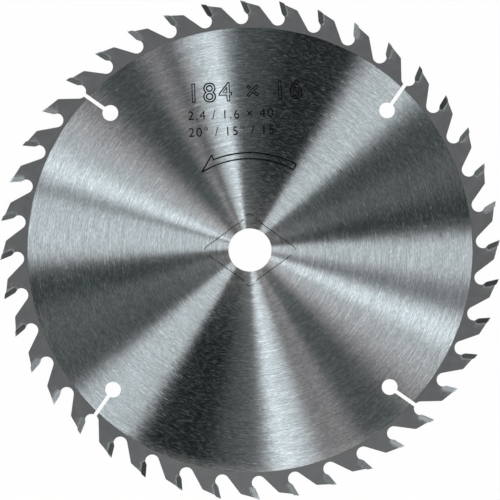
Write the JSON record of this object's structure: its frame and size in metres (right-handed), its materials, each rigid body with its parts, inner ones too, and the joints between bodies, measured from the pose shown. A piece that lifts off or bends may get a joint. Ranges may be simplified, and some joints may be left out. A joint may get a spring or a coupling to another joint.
{
  "type": "carbide tipped circular saw blade",
  "caption": "Flat round steel saw blade with hooked teeth, brazed carbide tips, expansion slots, a round arbor bore and a diamond knockout outline.",
  "frame": {"origin": "on the axis of the arbor bore, at the middle of the plate's thickness", "axes": "+Z along the arbor axis, out of the face that shows its teeth pointing counter-clockwise; +X towards the first tooth, which stands a little past it"},
  "size_m": [0.184, 0.184, 0.0024],
  "materials": {
    "ground_steel": "circular ground, with a matte blasted rim",
    "carbide": "fine ground, dark grey",
    "braze_alloy": "pale satin solder",
    "print_ink": "thin matte black print"
  },
  "bodies": {
    "root": {"blade_plate": "ground_steel", "braze": "braze_alloy", "carbide_tip_01": "carbide", "carbide_tip_02": "carbide", "carbide_tip_03": "carbide", "carbide_tip_04": "carbide", "carbide_tip_05": "carbide", "carbide_tip_06": "carbide", "carbide_tip_07": "carbide", "carbide_tip_08": "carbide", "carbide_tip_09": "carbide", "carbide_tip_10": "carbide", "carbide_tip_11": "carbide", "carbide_tip_12": "carbide", "carbide_tip_13": "carbide", "carbide_tip_14": "carbide", "carbide_tip_15": "carbide", "carbide_tip_16": "carbide", "carbide_tip_17": "carbide", "carbide_tip_18": "carbide", "carbide_tip_19": "carbide", "carbide_tip_20": "carbide", "carbide_tip_21": "carbide", "carbide_tip_22": "carbide", "carbide_tip_23": "carbide", "carbide_tip_24": "carbide", "carbide_tip_25": "carbide", "carbide_tip_26": "carbide", "carbide_tip_27": "carbide", "carbide_tip_28": "carbide", "carbide_tip_29": "carbide", "carbide_tip_30": "carbide", "carbide_tip_31": "carbide", "carbide_tip_32": "carbide", "carbide_tip_33": "carbide", "carbide_tip_34": "carbide", "carbide_tip_35": "carbide", "carbide_tip_36": "carbide", "carbide_tip_37": "carbide", "carbide_tip_38": "carbide", "carbide_tip_39": "carbide", "carbide_tip_40": "carbide"}
  },
  "joints": []
}
